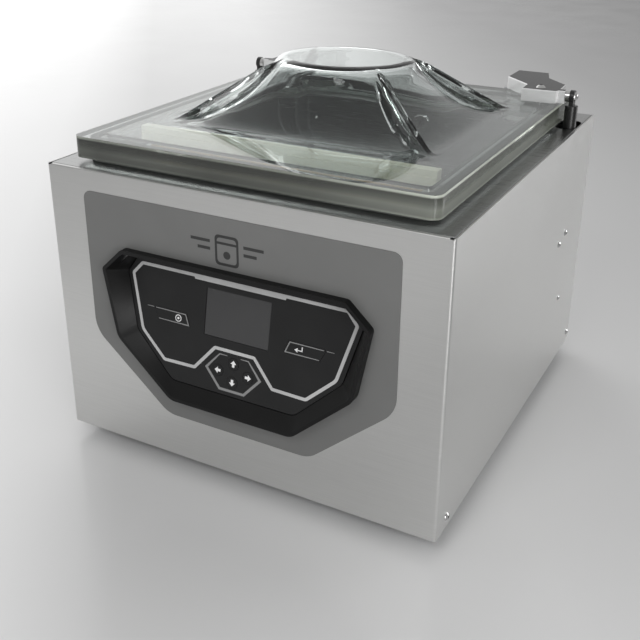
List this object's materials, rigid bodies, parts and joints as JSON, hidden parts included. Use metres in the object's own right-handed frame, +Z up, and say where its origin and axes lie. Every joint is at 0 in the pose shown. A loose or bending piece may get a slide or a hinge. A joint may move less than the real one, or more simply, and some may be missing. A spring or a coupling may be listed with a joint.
{
  "type": "vacuum packing machine",
  "caption": "Tabletop chamber vacuum packing machine: steel casing, tilted control panel, clear domed lid on gas springs, seal bar, pump inside.",
  "frame": {"origin": "middle of the machine's underside, at the level of the feet's soles", "axes": "+Z up, -Y out of the control panel, +X to the right seen from the front"},
  "size_m": [0.404, 0.454, 0.3741],
  "materials": {
    "stainless_wrap": "fine satin stainless sheet",
    "stainless_deck": "satin stainless sheet",
    "stainless_tub": "satin stainless sheet",
    "galvanised": "plain steel sheet",
    "zinc_screws": "bright plated",
    "clear_acrylic": "clear polished acrylic",
    "gasket_silicone": "dark silicone",
    "cream_silicone": "cream silicone",
    "chromed_hinge": "polished",
    "black_enamel": "satin black",
    "steel_rod": "ground and plated",
    "decal_grey": "dark grey printed film",
    "black_moulding": "fine satin moulded plastic",
    "membrane_black": "satin film",
    "silver_print": "silver grey print",
    "display_glass": "glossy dark window",
    "circuit_green": "solder mask",
    "bar_aluminium": "extruded and anodised",
    "seal_tape_tan": "coated glass-cloth tape",
    "wire_nickel": "flat resistance wire",
    "foot_rubber": "matte black rubber",
    "pump_iron": "painted casting",
    "motor_paint": "satin paint",
    "core_steel": "laminated steel",
    "hose_rubber": "reinforced hose",
    "sight_glass": "clear plastic over oil",
    "brass_valve": "machined brass"
  },
  "bodies": {
    "root": {"base_plate": "galvanised", "casing_screws": "zinc_screws", "casing_wrap": "stainless_wrap", "chamber_tub": "stainless_tub", "control_bezel": "black_moulding", "control_board": "circuit_green", "control_panel": "membrane_black", "decal_plate": "decal_grey", "deck_plate": "stainless_deck", "display_module": "black_moulding", "display_window": "display_glass", "foot_screws": "zinc_screws", "gas_spring_brackets": "galvanised", "gas_spring_lower_studs": "zinc_screws", "hinge_bracket_left": "galvanised", "hinge_bracket_right": "galvanised", "hinge_bracket_screws": "zinc_screws", "hinge_pins": "steel_rod", "lid_switch": "black_moulding", "lift_cylinders": "bar_aluminium", "oil_filler_cap": "black_moulding", "oil_filter": "pump_iron", "oil_sight_glass": "sight_glass", "panel_trim": "silver_print", "power_board": "circuit_green", "power_inlet": "black_moulding", "pump_body": "pump_iron", "pump_frame": "galvanised", "pump_motor": "motor_paint", "pump_mounts": "foot_rubber", "rear_panel": "stainless_wrap", "rubber_feet": "foot_rubber", "solenoid_valve": "brass_valve", "suction_port": "zinc_screws", "switch_housing": "black_moulding", "transformer": "core_steel", "vacuum_hose": "hose_rubber"},
    "lid": {"lid_shell": "clear_acrylic", "lid_gasket": "gasket_silicone", "counter_bar": "cream_silicone", "hinge_block_left": "chromed_hinge", "hinge_block_right": "chromed_hinge", "hinge_block_screws": "zinc_screws"},
    "seal_bar": {"seal_bar_body": "bar_aluminium", "heating_wire": "wire_nickel", "seal_tape": "seal_tape_tan", "lift_rods": "steel_rod"},
    "gas_rod_left": {"gas_spring_rod_left": "steel_rod"},
    "gas_rod_right": {"gas_spring_rod_right": "steel_rod"},
    "gas_tube_left": {"gas_spring_tube_left": "black_enamel", "gas_spring_stud_left": "zinc_screws"},
    "gas_tube_right": {"gas_spring_tube_right": "black_enamel", "gas_spring_stud_right": "zinc_screws"},
    "rocker": {"switch_rocker": "black_moulding"},
    "key_stop": {"key_stop": "membrane_black"},
    "key_enter": {"key_enter": "membrane_black"},
    "key_up": {"key_up": "membrane_black"},
    "key_down": {"key_down": "membrane_black"},
    "key_left": {"key_left": "membrane_black"},
    "key_right": {"key_right": "membrane_black"}
  },
  "joints": [
    {"name": "lid_hinge", "type": "hinge", "parent": "root", "child": "lid", "pos_m": [0, 0.203, 0.3071], "axis": [-1, 0, 0], "range_deg": [0, 45]},
    {"name": "seal_bar_lift", "type": "slide", "parent": "root", "child": "seal_bar", "axis": [0, 0, 1], "range_m": [0, 0.0105]},
    {"name": "power_rocker", "type": "hinge", "parent": "root", "child": "rocker", "pos_m": [-0.14, 0.212, 0.106], "axis": [-1, 0, 0], "range_deg": [0, 18]},
    {"name": "gas_spring_swing_left", "type": "hinge", "parent": "root", "child": "gas_rod_left", "pos_m": [-0.1897, 0.14, 0.1002], "axis": [-1, 0, 0], "range_deg": [0, 6.24]},
    {"name": "gas_spring_extend_left", "type": "slide", "parent": "gas_rod_left", "child": "gas_tube_left", "axis": [0, 0.0311, 0.9995], "range_m": [0, 0.03694]},
    {"name": "gas_spring_swing_right", "type": "hinge", "parent": "root", "child": "gas_rod_right", "pos_m": [0.1897, 0.14, 0.1002], "axis": [-1, 0, 0], "range_deg": [0, 6.24]},
    {"name": "gas_spring_extend_right", "type": "slide", "parent": "gas_rod_right", "child": "gas_tube_right", "axis": [0, 0.0311, 0.9995], "range_m": [0, 0.03694]},
    {"name": "press_stop", "type": "slide", "parent": "root", "child": "key_stop", "axis": [0, 0.9818, -0.19], "range_m": [0, 0.0005], "stiffness_N_per_m": 600, "springref_m": -0.0005},
    {"name": "press_enter", "type": "slide", "parent": "root", "child": "key_enter", "axis": [0, 0.9818, -0.19], "range_m": [0, 0.0005], "stiffness_N_per_m": 600, "springref_m": -0.0005},
    {"name": "press_up", "type": "slide", "parent": "root", "child": "key_up", "axis": [0, 0.9818, -0.19], "range_m": [0, 0.0005], "stiffness_N_per_m": 600, "springref_m": -0.0005},
    {"name": "press_down", "type": "slide", "parent": "root", "child": "key_down", "axis": [0, 0.9818, -0.19], "range_m": [0, 0.0005], "stiffness_N_per_m": 600, "springref_m": -0.0005},
    {"name": "press_left", "type": "slide", "parent": "root", "child": "key_left", "axis": [0, 0.9818, -0.19], "range_m": [0, 0.0005], "stiffness_N_per_m": 600, "springref_m": -0.0005},
    {"name": "press_right", "type": "slide", "parent": "root", "child": "key_right", "axis": [0, 0.9818, -0.19], "range_m": [0, 0.0005], "stiffness_N_per_m": 600, "springref_m": -0.0005}
  ],
  "couplings": [
    {"joint": "gas_spring_swing_left", "follows": "lid_hinge", "ratio": 0.1364},
    {"joint": "gas_spring_extend_left", "follows": "lid_hinge", "m_per_rad": 0.046782},
    {"joint": "gas_spring_swing_right", "follows": "lid_hinge", "ratio": 0.1364},
    {"joint": "gas_spring_extend_right", "follows": "lid_hinge", "m_per_rad": 0.046782}
  ]
}
